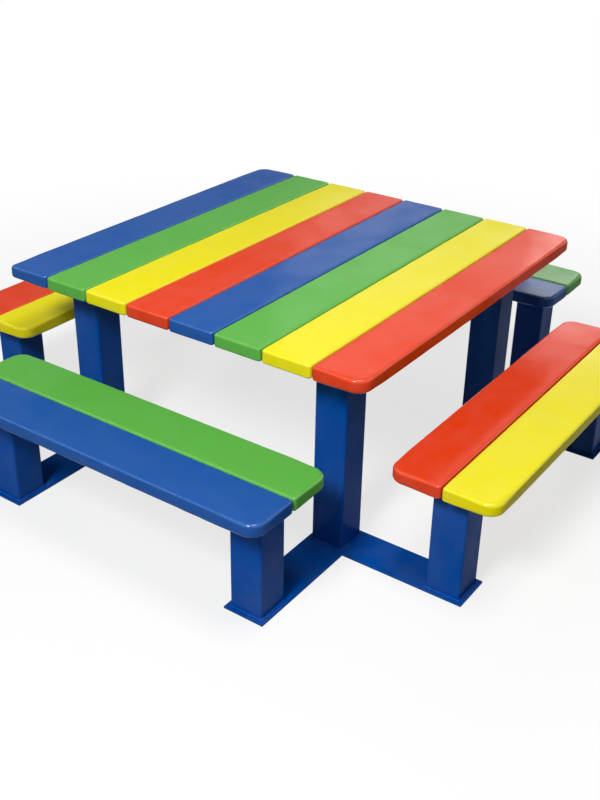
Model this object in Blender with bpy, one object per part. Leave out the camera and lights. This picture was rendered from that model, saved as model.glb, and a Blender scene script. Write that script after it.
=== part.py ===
"""A children's picnic table: a square slatted top and four slatted benches on steel corner frames.

Metres, +Z up. The origin is on the ground under the middle of the table. The table's slats
run along Y. Front is -Y, rear is +Y, left is -X and right is +X.

Each corner frame is a flat L-shaped base plate with three square tubes welded on it: a tall
one for the table at the bend of the L, and a short one for a bench at the end of each arm.
A hat-section rail joins the two front table legs, and another the two rear ones. The table's
slats are screwed down through the rails' lips, and the benches' slats through a top plate on
each bench leg, always from below, so that no fixing shows on top. The hexagon-head wood screws
are solid with the rail or plate that their heads bear on, and stand in pilot holes in the slats.
"""

import math

import bmesh
import bpy
from mathutils import Matrix, Vector

# Boards
SLAT_WIDTH = 0.122
SLAT_THICKNESS = 0.032
SLAT_GAP = 0.003
EDGE_RADIUS = 0.004
CORNER_EASE = 0.004
OUTER_CORNER_RADIUS = 0.034

# Table and benches
TABLE_SLAT_COUNT = 8
TABLE_LENGTH = 1.000
TABLE_HEIGHT = 0.500
TABLE_SIDE_OVERHANG = 0.1385
TABLE_END_OVERHANG = 0.140
BENCH_HEIGHT = 0.300
BENCH_END_OVERHANG = 0.090
BENCH_REACH = 0.295

# Steel tube and plate
LEG_SIDE = 0.080
LEG_WALL = 0.003
LEG_CORNER_RADIUS = 0.004
BASE_THICKNESS = 0.005
BASE_MARGIN = 0.010
TOP_PLATE_THICKNESS = 0.005
TOP_PLATE_SCREW_EDGE = 0.030
CAP_THICKNESS = 0.006

# Hat-section rails
RAIL_WEB_WIDTH = 0.060
RAIL_HEIGHT = 0.030
RAIL_LIP_WIDTH = 0.022
RAIL_WALL = 0.003
RAIL_SCREW_END = 0.0225

# Fixings
SCREW_DIAMETER = 0.006
SCREW_HEAD_ACROSS_FLATS = 0.010
SCREW_HEAD_HEIGHT = 0.004
SCREW_PAIR_SPACING = 0.050
SCREW_TIP_ROOM = 0.002
PILOT_COVER = 0.009
BOLT_DIAMETER = 0.010
BOLT_END_PROUD = 0.004
BOLT_HEAD_HEIGHT = 0.0064
BOLT_HOLE_CLEARANCE = 0.001
HEX_ACROSS_FLATS = 0.016
NUT_HEIGHT = 0.008
WASHER_DIAMETER = 0.020
WASHER_THICKNESS = 0.002

# Gap between two pieces that rest on each other
FIT_GAP = 0.0003

# How finely round shapes are divided
OUTER_CORNER_STEPS = 6
SMALL_CORNER_STEPS = 3
EDGE_STEPS = 2
SCREW_SIDES = 6
BOLT_SIDES = 16
HEX_SIDES = 6
SHARP_ANGLE = math.radians(50)

# Sizes that follow from the ones above
SLAT_PITCH = SLAT_WIDTH + SLAT_GAP
TABLE_WIDTH = TABLE_SLAT_COUNT * SLAT_PITCH - SLAT_GAP
LEG_X = TABLE_WIDTH / 2 - TABLE_SIDE_OVERHANG
LEG_Y = TABLE_LENGTH / 2 - TABLE_END_OVERHANG
BASE_HALF_WIDTH = LEG_SIDE / 2 + BASE_MARGIN
LEG_FOOT = BASE_THICKNESS + FIT_GAP
TABLE_SLAT_BASE = TABLE_HEIGHT - SLAT_THICKNESS
RAIL_BASE = TABLE_SLAT_BASE - FIT_GAP - RAIL_HEIGHT
CAP_BASE = RAIL_BASE - FIT_GAP - CAP_THICKNESS
TABLE_LEG_LENGTH = CAP_BASE - FIT_GAP - LEG_FOOT
BENCH_SLAT_BASE = BENCH_HEIGHT - SLAT_THICKNESS
TOP_PLATE_BASE = BENCH_SLAT_BASE - FIT_GAP - TOP_PLATE_THICKNESS
BENCH_LEG_LENGTH = TOP_PLATE_BASE - FIT_GAP - LEG_FOOT
RAIL_LENGTH = (TABLE_SLAT_COUNT - 1) * SLAT_PITCH + 2 * RAIL_SCREW_END
RAIL_SCREW_OFFSET = (RAIL_WEB_WIDTH + RAIL_LIP_WIDTH) / 2
PILOT_DIAMETER = SCREW_DIAMETER + 2 * FIT_GAP
PILOT_DEPTH = SLAT_THICKNESS - PILOT_COVER
SCREW_BITE = FIT_GAP + PILOT_DEPTH - SCREW_TIP_ROOM
BOLT_HOLE_DIAMETER = BOLT_DIAMETER + BOLT_HOLE_CLEARANCE
WASHER_BASE = RAIL_BASE + RAIL_WALL + FIT_GAP
BOLT_HEAD_BASE = WASHER_BASE + WASHER_THICKNESS + FIT_GAP
NUT_BASE = CAP_BASE - FIT_GAP - NUT_HEIGHT
BOLT_LENGTH = BOLT_HEAD_BASE - NUT_BASE + BOLT_END_PROUD

# Colours as linear RGB, then roughness and metallic value
FINISHES = {
    "blue": ((0.032, 0.118, 0.386), 0.35, 0.0),
    "green": ((0.130, 0.445, 0.078), 0.35, 0.0),
    "yellow": ((0.880, 0.790, 0.035), 0.35, 0.0),
    "red": ((0.800, 0.075, 0.018), 0.35, 0.0),
    "frame_blue": ((0.008, 0.055, 0.265), 0.30, 0.0),
    "zinc": ((0.560, 0.570, 0.580), 0.40, 1.0),
}
TABLE_COLOURS = ("blue", "green", "yellow", "red")

# Each bench: its turn about Z, the colours of its outer and inner slat, and the names of its
# legs at the low and high end of its own X
BENCHES = {
    "front": (0, "blue", "green", ("left", "right")),
    "right": (90, "yellow", "red", ("front", "rear")),
    "rear": (180, "green", "blue", ("right", "left")),
    "left": (270, "red", "yellow", ("rear", "front")),
}

# Each corner: the side of its table leg along X and along Y, and the turn of its base plate
CORNERS = {
    "front_right": (1, -1, 0),
    "rear_right": (1, 1, 90),
    "rear_left": (-1, 1, 180),
    "front_left": (-1, -1, 270),
}


def clear_scene():
    """Empties the scene."""
    for obj in list(bpy.data.objects):
        bpy.data.objects.remove(obj)


def make_material(name, colour, roughness, metallic):
    """A plain Principled material."""
    material = bpy.data.materials.new(name)
    material.use_nodes = True
    shader = material.node_tree.nodes["Principled BSDF"]
    shader.inputs["Base Color"].default_value = (*colour, 1.0)
    shader.inputs["Roughness"].default_value = roughness
    shader.inputs["Metallic"].default_value = metallic
    material.diffuse_color = (*colour, 1.0)
    return material


def make_empty(name, location=(0, 0, 0), turn=0, parent=None):
    """An empty that carries a sub-assembly, turned about Z by some degrees."""
    empty = bpy.data.objects.new(name, None)
    bpy.context.scene.collection.objects.link(empty)
    empty.location = location
    empty.rotation_euler.z = math.radians(turn)
    empty.parent = parent
    return empty


def place(name, mesh, finish, parent, location=(0, 0, 0), turn=0):
    """A node: its own copy of a mesh, in one finish, set at a place in its parent's frame."""
    obj = bpy.data.objects.new(name, mesh.copy())
    bpy.context.scene.collection.objects.link(obj)
    obj.data.materials.clear()
    obj.data.materials.append(bpy.data.materials[finish])
    obj.data.shade_smooth()
    obj.data.set_sharp_from_angle(angle=SHARP_ANGLE)
    obj.parent = parent
    obj.location = location
    obj.rotation_euler.z = math.radians(turn)
    return obj


def mesh_from(bm, name):
    """A mesh made from a bmesh, with its faces pointing out."""
    bmesh.ops.recalc_face_normals(bm, faces=bm.faces)
    mesh = bpy.data.meshes.new(name)
    bm.to_mesh(mesh)
    bm.free()
    return mesh


def helper(name, mesh):
    """A hidden object used to cut or to shape another."""
    obj = bpy.data.objects.new(name, mesh)
    bpy.context.scene.collection.objects.link(obj)
    obj.hide_render = True
    obj.display_type = "WIRE"
    return obj


def applied(obj, name):
    """The mesh of an object with its modifiers applied. The object is removed."""
    bpy.context.view_layer.update()
    graph = bpy.context.evaluated_depsgraph_get()
    mesh = bpy.data.meshes.new_from_object(obj.evaluated_get(graph))
    mesh.name = name
    bpy.data.objects.remove(obj)
    return mesh


def combine(mesh, other, operation):
    """One mesh joined with another, or cut by it."""
    base = helper("base", mesh)
    tool = helper("tool", other)
    boolean = base.modifiers.new("boolean", "BOOLEAN")
    boolean.operation = operation
    boolean.solver = "EXACT"
    boolean.object = tool
    made = applied(base, mesh.name)
    bpy.data.objects.remove(tool)
    return made


def rounded_outline(half_x, half_y, radii, steps):
    """Points round a rectangle with round corners, counterclockwise from its +X +Y corner.

    radii and steps hold a value for each corner, in the order ++, -+, --, +-.
    """
    signs = ((1, 1), (-1, 1), (-1, -1), (1, -1))
    points = []
    for quarter, (sign_x, sign_y) in enumerate(signs):
        radius = radii[quarter]
        centre = Vector((sign_x * (half_x - radius), sign_y * (half_y - radius)))
        for step in range(steps[quarter] + 1):
            angle = math.pi / 2 * (quarter + step / steps[quarter])
            points.append(centre + radius * Vector((math.cos(angle), math.sin(angle))))
    return points


def rectangle(half_x, half_y):
    """Points round a rectangle, counterclockwise from its +X +Y corner."""
    return [(half_x, half_y), (-half_x, half_y), (-half_x, -half_y), (half_x, -half_y)]


def circle(diameter, sides):
    """Points round a circle."""
    angles = [2 * math.pi * (side + 0.5) / sides for side in range(sides)]
    return [Vector((math.cos(a), math.sin(a))) * diameter / 2 for a in angles]


def polygon(across_flats, sides):
    """Points round a polygon, each of whose sides touches a circle from outside."""
    return circle(across_flats / math.cos(math.pi / sides), sides)


def prism(name, outline, height, base=0.0, centres=((0, 0),)):
    """An outline drawn at the height base and pulled up by height, repeated at each centre."""
    bm = bmesh.new()
    for x, y in centres:
        face = bm.faces.new([bm.verts.new((point[0] + x, point[1] + y, base)) for point in outline])
        pulled = bmesh.ops.extrude_face_region(bm, geom=[face])["geom"]
        moved = [part for part in pulled if isinstance(part, bmesh.types.BMVert)]
        bmesh.ops.translate(bm, verts=moved, vec=(0, 0, height))
    return mesh_from(bm, name)


def drill(mesh, diameter, sides, centres, base, height):
    """A mesh with holes cut along Z at each centre, whose flats lie on the round hole's wall."""
    return combine(mesh, prism("drills", polygon(diameter, sides), height, base, centres), "DIFFERENCE")


def through(mesh, diameter, sides, centres, thickness):
    """A piece that lies on its base plane, with holes right through it."""
    return drill(mesh, diameter, sides, centres, -thickness, 3 * thickness)


def screwed(mesh, centres, under, top):
    """A steel piece with a wood screw up through it at each centre.

    The screw's head bears on the piece at the height under, and its shank leaves it at top.
    """
    middle = (under + top) / 2
    head_base = under - SCREW_HEAD_HEIGHT
    head = polygon(SCREW_HEAD_ACROSS_FLATS, HEX_SIDES)
    shank = circle(SCREW_DIAMETER, SCREW_SIDES)
    heads = prism("screw_heads", head, middle - head_base, head_base, centres)
    shanks = prism("screw_shanks", shank, top + SCREW_BITE - middle, middle, centres)
    return combine(combine(mesh, heads, "UNION"), shanks, "UNION")


# Boards


def slat_mesh(name, length, rounded_corners, screw_centres):
    """A board along Y on its base plane, with every edge rounded over and blind pilot holes below.

    rounded_corners holds the corners, in the order ++, -+, --, +-, that are outer corners of
    the top or the bench and so have the large radius.
    """
    small = EDGE_RADIUS + CORNER_EASE
    radii = [OUTER_CORNER_RADIUS if outer else small for outer in rounded_corners]
    steps = [OUTER_CORNER_STEPS if outer else SMALL_CORNER_STEPS for outer in rounded_corners]
    outline = rounded_outline(SLAT_WIDTH / 2, length / 2, radii, steps)
    board = helper("board", prism(name, outline, SLAT_THICKNESS))
    edges = board.modifiers.new("rounded_edges", "BEVEL")
    edges.width = EDGE_RADIUS
    edges.segments = EDGE_STEPS
    edges.limit_method = "ANGLE"
    edges.angle_limit = SHARP_ANGLE
    mesh = applied(board, name)
    return drill(mesh, PILOT_DIAMETER, SCREW_SIDES, screw_centres, -PILOT_DEPTH, 2 * PILOT_DEPTH)


def make_table_top(parent):
    """The eight slats of the table, from left to right.

    Three corners of the top have the large radius. The front left one is square, like the
    corners between the slats.
    """
    lines = [side * LEG_Y + lip * RAIL_SCREW_OFFSET for side in (-1, 1) for lip in (-1, 1)]
    screws = [(0, y) for y in lines]
    last = TABLE_SLAT_COUNT - 1
    for index in range(TABLE_SLAT_COUNT):
        colour = TABLE_COLOURS[index % len(TABLE_COLOURS)]
        rounded = (index == last, index == 0, False, index == last)
        name = f"table_slat_{index + 1}_{colour}"
        mesh = slat_mesh(name, TABLE_LENGTH, rounded, screws)
        place(name, mesh, colour, parent, (slat_centre(index), 0, TABLE_SLAT_BASE))


def slat_centre(index):
    """The place along X of the middle of a table slat."""
    return (index - (TABLE_SLAT_COUNT - 1) / 2) * SLAT_PITCH


# Steel legs and plates


def tube_mesh(length, name):
    """A square tube with rounded outer edges, standing on its base plane."""
    half = LEG_SIDE / 2
    outside = rounded_outline(half, half, [LEG_CORNER_RADIUS] * 4, [SMALL_CORNER_STEPS] * 4)
    bore = rectangle(half - LEG_WALL, half - LEG_WALL)
    return combine(prism(name, outside, length), prism("bore", bore, 3 * length, -length), "DIFFERENCE")


def base_plate_mesh():
    """A flat L with the table leg's place at its bend and a bench leg's at the end of each arm."""
    half = BASE_HALF_WIDTH
    end = BENCH_REACH + half
    outline = [(-half, half), (-half, -end), (half, -end), (half, -half), (end, -half), (end, half)]
    return prism("base_plate", outline, BASE_THICKNESS)


def cap_plate_mesh():
    """A square plate that closes a table leg, with a hole for the rail's bolt."""
    plate = prism("cap_plate", rectangle(LEG_SIDE / 2, LEG_SIDE / 2), CAP_THICKNESS)
    return through(plate, BOLT_HOLE_DIAMETER, BOLT_SIDES, [(0, 0)], CAP_THICKNESS)


def bench_screw_centres():
    """Where the screws pass a bench leg's top plate, two for each slat, with the bench along X."""
    return [
        (side_x * SCREW_PAIR_SPACING / 2, side_y * SLAT_PITCH / 2)
        for side_x in (-1, 1)
        for side_y in (-1, 1)
    ]


def top_plate_mesh():
    """A plate across a bench, as wide as its leg, with four screws outside the leg."""
    outline = rectangle(LEG_SIDE / 2, SLAT_PITCH / 2 + TOP_PLATE_SCREW_EDGE)
    plate = prism("top_plate", outline, TOP_PLATE_THICKNESS)
    return screwed(plate, bench_screw_centres(), 0, TOP_PLATE_THICKNESS)


def make_corner_frames(parent):
    """The four base plates and the table legs that stand at their bends, with their cap plates."""
    leg = tube_mesh(TABLE_LEG_LENGTH, "table_leg")
    plate = base_plate_mesh()
    cap = cap_plate_mesh()
    for corner, (side_x, side_y, turn) in CORNERS.items():
        frame = make_empty(f"corner_{corner}", (side_x * LEG_X, side_y * LEG_Y, 0), turn, parent)
        place(f"base_plate_{corner}", plate, "frame_blue", frame)
        place(f"table_leg_{corner}", leg, "frame_blue", frame, (0, 0, LEG_FOOT))
        place(f"table_leg_cap_{corner}", cap, "frame_blue", frame, (0, 0, CAP_BASE))


def make_benches(parent):
    """The four benches, each with two slats, two legs and a top plate on each leg."""
    leg = tube_mesh(BENCH_LEG_LENGTH, "bench_leg")
    plate = top_plate_mesh()
    for bench, (turn, outer_colour, inner_colour, leg_names) in BENCHES.items():
        runs_along_x = turn % 180 == 0
        leg_offset = LEG_X if runs_along_x else LEG_Y
        distance = (LEG_Y if runs_along_x else LEG_X) + BENCH_REACH
        outward = Matrix.Rotation(math.radians(turn), 3, "Z") @ Vector((0, -distance, 0))
        frame = make_empty(f"bench_{bench}", outward, turn, parent)
        for side, end in zip((-1, 1), leg_names):
            spot = side * leg_offset
            place(f"bench_{bench}_leg_{end}", leg, "frame_blue", frame, (spot, 0, LEG_FOOT))
            place(f"bench_{bench}_top_plate_{end}", plate, "frame_blue", frame, (spot, 0, TOP_PLATE_BASE))
        make_bench_slats(bench, frame, leg_offset, outer_colour, inner_colour)


def make_bench_slats(bench, frame, leg_offset, outer_colour, inner_colour):
    """The two slats of a bench. A board is modelled along Y, so it is turned to lie along X."""
    length = 2 * (leg_offset + BENCH_END_OVERHANG)
    screws = [
        (0, side * leg_offset + pair * SCREW_PAIR_SPACING / 2) for side in (-1, 1) for pair in (-1, 1)
    ]
    rows = (("outer", outer_colour, -1), ("inner", inner_colour, 1))
    for row, colour, side in rows:
        rounded = (side > 0, side < 0, side < 0, side > 0)
        name = f"bench_{bench}_slat_{row}_{colour}"
        mesh = slat_mesh(name, length, rounded, screws)
        place(name, mesh, colour, frame, (0, side * SLAT_PITCH / 2, BENCH_SLAT_BASE), 90)


# Rails and their bolts


def rail_mesh():
    """A hat section along X on its web, with a screw through each lip under every slat."""
    web = RAIL_WEB_WIDTH / 2
    inside = web - RAIL_WALL
    lip = web + RAIL_LIP_WIDTH
    shoulder = RAIL_HEIGHT - RAIL_WALL
    half = [
        (web, 0),
        (web, shoulder),
        (lip, shoulder),
        (lip, RAIL_HEIGHT),
        (inside, RAIL_HEIGHT),
        (inside, RAIL_WALL),
    ]
    section = half + [(-y, z) for y, z in reversed(half)]
    rail = prism("rail", section, RAIL_LENGTH, -RAIL_LENGTH / 2)
    # The section is drawn in X and Y and pulled along Z, so it is turned to lie along X.
    rail.transform(Matrix(((0, 0, 1, 0), (1, 0, 0, 0), (0, 1, 0, 0), (0, 0, 0, 1))))
    screws = [
        (slat_centre(index), side * RAIL_SCREW_OFFSET)
        for index in range(TABLE_SLAT_COUNT)
        for side in (-1, 1)
    ]
    rail = through(rail, BOLT_HOLE_DIAMETER, BOLT_SIDES, [(-LEG_X, 0), (LEG_X, 0)], RAIL_HEIGHT)
    return screwed(rail, screws, shoulder, RAIL_HEIGHT)


def bolt_mesh():
    """A hexagon-head bolt hanging from the underside of its head."""
    overlap = BOLT_HEAD_HEIGHT / 2
    head = prism("bolt", polygon(HEX_ACROSS_FLATS, HEX_SIDES), BOLT_HEAD_HEIGHT)
    shank = prism("shank", circle(BOLT_DIAMETER, BOLT_SIDES), BOLT_LENGTH + overlap, -BOLT_LENGTH)
    return combine(head, shank, "UNION")


def washer_mesh():
    """A flat washer on its base plane."""
    disc = prism("washer", circle(WASHER_DIAMETER, BOLT_SIDES), WASHER_THICKNESS)
    return through(disc, BOLT_HOLE_DIAMETER, BOLT_SIDES, [(0, 0)], WASHER_THICKNESS)


def nut_mesh():
    """A hexagon nut on its base plane, bored to clear the bolt by the fit gap."""
    block = prism("weld_nut", polygon(HEX_ACROSS_FLATS, HEX_SIDES), NUT_HEIGHT)
    return through(block, BOLT_DIAMETER + 2 * FIT_GAP, BOLT_SIDES, [(0, 0)], NUT_HEIGHT)


def make_rails(parent):
    """The two rails, and a bolt, a washer and a weld nut at each table leg."""
    rail = rail_mesh()
    for side, end in zip((-1, 1), ("front", "rear")):
        place(f"slat_rail_{end}", rail, "frame_blue", parent, (0, side * LEG_Y, RAIL_BASE))
    bolt = bolt_mesh()
    washer = washer_mesh()
    nut = nut_mesh()
    for corner, (side_x, side_y, _) in CORNERS.items():
        x, y = side_x * LEG_X, side_y * LEG_Y
        place(f"rail_bolt_{corner}", bolt, "zinc", parent, (x, y, BOLT_HEAD_BASE))
        place(f"rail_washer_{corner}", washer, "zinc", parent, (x, y, WASHER_BASE))
        place(f"rail_weld_nut_{corner}", nut, "zinc", parent, (x, y, NUT_BASE))


def main():
    """Builds the table."""
    clear_scene()
    for name, finish in FINISHES.items():
        make_material(name, *finish)
    table = make_empty("picnic_table")
    make_corner_frames(table)
    make_benches(table)
    make_rails(table)
    make_table_top(table)


main()
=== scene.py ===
"""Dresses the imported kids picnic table: painted slats, coated steel frames, welds and fixings.

The table stands on the ground round the origin. X runs across the table's slats, from the blue
one on the left to the red one on the right, and Y runs along them, away from the front bench.
All sizes are in metres and all colours are in linear light.
"""

import logging
import math
from collections.abc import Callable
from dataclasses import dataclass
from enum import Enum
from functools import cache

import bmesh
import bpy
from mathutils import Matrix, Vector


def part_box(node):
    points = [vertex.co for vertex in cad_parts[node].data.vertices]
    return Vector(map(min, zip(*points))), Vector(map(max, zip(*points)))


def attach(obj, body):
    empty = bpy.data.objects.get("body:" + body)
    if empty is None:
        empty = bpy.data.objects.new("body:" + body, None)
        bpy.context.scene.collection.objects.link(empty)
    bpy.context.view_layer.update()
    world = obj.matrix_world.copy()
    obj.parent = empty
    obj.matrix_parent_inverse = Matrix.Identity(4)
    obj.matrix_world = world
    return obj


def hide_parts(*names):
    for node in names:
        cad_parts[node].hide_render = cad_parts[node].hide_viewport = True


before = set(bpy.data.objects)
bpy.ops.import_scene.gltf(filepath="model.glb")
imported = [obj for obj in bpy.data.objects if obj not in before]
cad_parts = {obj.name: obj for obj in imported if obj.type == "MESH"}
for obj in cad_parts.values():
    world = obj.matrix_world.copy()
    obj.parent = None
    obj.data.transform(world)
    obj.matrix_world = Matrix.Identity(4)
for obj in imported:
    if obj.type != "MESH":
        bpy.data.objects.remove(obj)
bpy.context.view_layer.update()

log = logging.getLogger("picnic_table")

Piece = bpy.types.Object
Material = bpy.types.Material
NodeTree = bpy.types.NodeTree
Node = bpy.types.Node
Socket = bpy.types.NodeSocket
Outputs = bpy.types.NodeOutputs
Inputs = dict[str | int, object]
Span = tuple[float, float]
Triple = tuple[float, float, float]
Colour = tuple[float, float, float, float]
PointTest = Callable[[Vector], bool]
EdgeTest = Callable[[Vector, Vector], bool]
FaceTest = Callable[[Vector, Vector], bool]

BODY = "root"
BOARD_RUN = "board_run"
ROUNDED = "rounded"

# How closely a direction follows an axis, where a half width counts as its edge, and how close
# two places are that count as one.
STRAIGHT = 0.9
DEAD_STRAIGHT = 0.999
NEAR_EDGE = 0.9
TOUCH = 0.0001

# Angles in radians: where shading stays smooth, and where an edge is broken.
SMOOTH_ANGLE = math.radians(40)
SHARP_ANGLE = 1.0

# Turns in degrees. A hexagon's corners are a step apart, and its points are found within the slack.
HALF_TURN = 180
QUARTER_TURN = 90
HEX_STEP = 60
HEX_SLACK = 5
HEX_SHRINK = math.cos(math.radians(HEX_STEP / 2))

# Sizes that more than one sub-assembly uses.
SLAT_PITCH = 0.125
LARGE_CORNER = 0.034
LEG_OFFSET = 0.36
TUBE_SIDE = 0.080
TUBE_CORNER = 0.005
FIT_GAP = 0.0003


def base_of(node: str) -> float:
    """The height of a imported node's lowest point."""
    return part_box(node)[0].z


def top_of(node: str) -> float:
    """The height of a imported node's highest point."""
    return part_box(node)[1].z


def height_of(node: str) -> float:
    """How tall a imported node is."""
    return top_of(node) - base_of(node)


def off_flat(place: Vector) -> float:
    """How far round, in degrees, a point stands from the middle of a hexagon's nearest flat."""
    bearing = math.degrees(math.atan2(place.y, place.x)) - QUARTER_TURN
    return abs(bearing % HEX_STEP - HEX_STEP / 2)


class Paint(Enum):
    """The paints of the slats, in their order on the table."""

    BLUE = "blue"
    GREEN = "green"
    YELLOW = "yellow"
    RED = "red"

    @property
    def slot(self) -> str:
        """The record's slot for slats in this paint."""
        return f"slat_{self.value}"


class Corner(Enum):
    """The table's corners: the side along X, the side along Y and the base plate's turn."""

    FRONT_RIGHT = (1, -1, 0)
    REAR_RIGHT = (1, 1, 90)
    REAR_LEFT = (-1, 1, 180)
    FRONT_LEFT = (-1, -1, 270)

    @property
    def label(self) -> str:
        """The corner's name inside node names."""
        return self.name.lower()

    @property
    def turn(self) -> float:
        """How far the base plate is turned about the vertical, in degrees."""
        return self.value[2]

    def leg_spot(self, height: float) -> Vector:
        """The middle of this corner's table leg, at a height above the ground."""
        return Vector((self.value[0] * LEG_OFFSET, self.value[1] * LEG_OFFSET, height))


class Seat(Enum):
    """The benches: their turn, outer and inner paint, and the names of their two legs."""

    FRONT = (0, Paint.BLUE, Paint.GREEN, ("left", "right"))
    RIGHT = (90, Paint.YELLOW, Paint.RED, ("front", "rear"))
    REAR = (180, Paint.GREEN, Paint.BLUE, ("right", "left"))
    LEFT = (270, Paint.RED, Paint.YELLOW, ("rear", "front"))

    @property
    def label(self) -> str:
        """The bench's name inside node names."""
        return self.name.lower()

    @property
    def turn(self) -> float:
        """How far the bench is turned about the vertical, in degrees."""
        return self.value[0]

    @property
    def paints(self) -> dict[str, Paint]:
        """The paint of the outer and of the inner slat."""
        return {"outer": self.value[1], "inner": self.value[2]}

    @property
    def leg_names(self) -> tuple[str, str]:
        """The names of the legs at the bench's own left and right end."""
        return self.value[3]

    def spot(self, along: float, outward: float, height: float) -> Vector:
        """A place by its distances along the bench, from the table's centre and from the ground."""
        turn = Matrix.Rotation(math.radians(self.turn), 3, "Z")
        return turn @ Vector((along, -outward, height))


@dataclass(frozen=True)
class Coat:
    """A finish to wear: its material, its slot in the record and the word it adds to names."""

    material: Material
    slot: str
    ending: str


class Workshop:
    """Adds, copies, finishes and hands in pieces."""

    @staticmethod
    def only(piece: Piece) -> None:
        """Makes a piece the active object and the only selected one.

        Args:
            piece: the piece to work on.
        """
        bpy.ops.object.select_all(action="DESELECT")
        piece.select_set(True)
        bpy.context.view_layer.objects.active = piece

    @staticmethod
    def settle(name: str, scale: Triple = (1, 1, 1)) -> Piece:
        """Names the new primitive and puts its size and place into its mesh.

        Args:
            name: the piece's name.
            scale: the size to give it along each axis.

        Returns:
            The piece, at the origin.
        """
        piece = bpy.context.object
        piece.name = name
        piece.data.name = name
        piece.scale = scale
        bpy.ops.object.transform_apply(location=True, rotation=True, scale=True)
        return piece

    @staticmethod
    def block(name: str, size: Triple, centre: Triple) -> Piece:
        """Starts a piece from a box.

        Args:
            name: the piece's name.
            size: the box's length along each axis.
            centre: the box's middle.

        Returns:
            The new piece.
        """
        bpy.ops.object.select_all(action="DESELECT")
        bpy.ops.mesh.primitive_cube_add(size=1, location=centre)
        return Workshop.settle(name, size)

    @staticmethod
    def sheet(name: str, size: Span, height: float) -> Piece:
        """Starts a piece from a level rectangle round the vertical through the origin.

        Args:
            name: the piece's name.
            size: the rectangle's length along X and Y.
            height: the height at which it lies.

        Returns:
            The new piece.
        """
        bpy.ops.object.select_all(action="DESELECT")
        bpy.ops.mesh.primitive_plane_add(size=1, location=(0, 0, height))
        return Workshop.settle(name, (*size, 1))

    @staticmethod
    def disc(name: str, sides: int, radius: float, height: float) -> Piece:
        """Starts a piece from a level polygon round the vertical through the origin.

        Args:
            name: the piece's name.
            sides: the polygon's number of corners.
            radius: the distance of its corners from the middle.
            height: the height at which it lies.

        Returns:
            The new piece.
        """
        bpy.ops.object.select_all(action="DESELECT")
        bpy.ops.mesh.primitive_circle_add(
            vertices=sides, radius=radius, fill_type="NGON", location=(0, 0, height)
        )
        return Workshop.settle(name)

    @staticmethod
    def copy_of(pattern: Piece, name: str, spot: Vector, turn: float = 0.0) -> Piece:
        """Copies a pattern with a mesh of its own and puts the copy in place.

        Args:
            pattern: the piece that was modelled once.
            name: the copy's name.
            spot: where the pattern's origin goes.
            turn: the turn about the vertical, in degrees.

        Returns:
            The copy, at the origin with its place in its mesh.
        """
        Workshop.only(pattern)
        bpy.ops.object.duplicate(linked=False)
        twin = bpy.context.object
        twin.name = name
        twin.data.name = name
        twin.matrix_world = Matrix.Translation(spot) @ Matrix.Rotation(math.radians(turn), 4, "Z")
        bpy.ops.object.transform_apply(location=True, rotation=True, scale=True)
        return twin

    @staticmethod
    def modify(piece: Piece, kind: str, **settings: object) -> None:
        """Adds a modifier to a piece and applies it.

        Args:
            piece: the piece to change.
            kind: the modifier's type.
            settings: the modifier's own settings.
        """
        Workshop.only(piece)
        modifier = piece.modifiers.new(kind.lower(), kind)
        for setting, value in settings.items():
            setattr(modifier, setting, value)
        bpy.ops.object.modifier_apply(modifier=modifier.name)

    @staticmethod
    def break_edges(piece: Piece, width: float, steps: int) -> None:
        """Takes the sharpness off a piece's edges, in a few steps."""
        settings = {"width": width, "segments": steps, "angle_limit": SHARP_ANGLE}
        Workshop.modify(piece, "BEVEL", limit_method="ANGLE", **settings)

    @staticmethod
    def roughen(piece: Piece, depth: float, size: float, detail: int, group: str = "") -> None:
        """Makes a piece slightly uneven, in a way that depends on its place.

        Args:
            piece: the piece, in place.
            depth: the height between the lowest and the highest swell.
            size: the length of the swells.
            detail: how many times finer swells are added.
            group: the points that it is limited to, or nothing for all.
        """
        swell = bpy.data.textures.new(f"swell_{piece.name}", "CLOUDS")
        swell.noise_scale = size
        swell.noise_depth = detail
        settings = {"texture": swell, "texture_coords": "LOCAL", "mid_level": 0.5}
        Workshop.modify(piece, "DISPLACE", strength=depth, vertex_group=group, **settings)
        bpy.data.textures.remove(swell)

    @staticmethod
    def smooth(piece: Piece) -> None:
        """Shades the rounded parts of a piece smooth and leaves its flats flat.

        Args:
            piece: the piece to shade.
        """
        Workshop.only(piece)
        bpy.ops.object.shade_smooth_by_angle(angle=SMOOTH_ANGLE)
        Workshop.modify(piece, "WEIGHTED_NORMAL", mode="FACE_AREA", weight=50, keep_sharp=True)

    @staticmethod
    def discard(*patterns: Piece) -> None:
        """Removes patterns that have been copied."""
        for pattern in patterns:
            bpy.data.objects.remove(pattern)

    @staticmethod
    def hand_in(piece: Piece, coat: Coat, *nodes: str) -> None:
        """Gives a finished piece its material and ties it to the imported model.

        Args:
            piece: the finished piece.
            coat: the finish it wears.
            nodes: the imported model's nodes that it stands for.
        """
        piece.data.materials.clear()
        piece.data.materials.append(coat.material)
        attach(piece, BODY)
        if nodes:
            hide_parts(*nodes)
        log.info("%s: %d faces in %s", piece.name, len(piece.data.polygons), coat.material.name)

    @staticmethod
    def stand_in(pattern: Piece, node: str, coat: Coat, spot: Vector, turn: float = 0.0) -> None:
        """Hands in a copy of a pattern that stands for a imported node."""
        copy = Workshop.copy_of(pattern, f"{node}_{coat.ending}", spot, turn)
        Workshop.hand_in(copy, coat, node)


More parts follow.
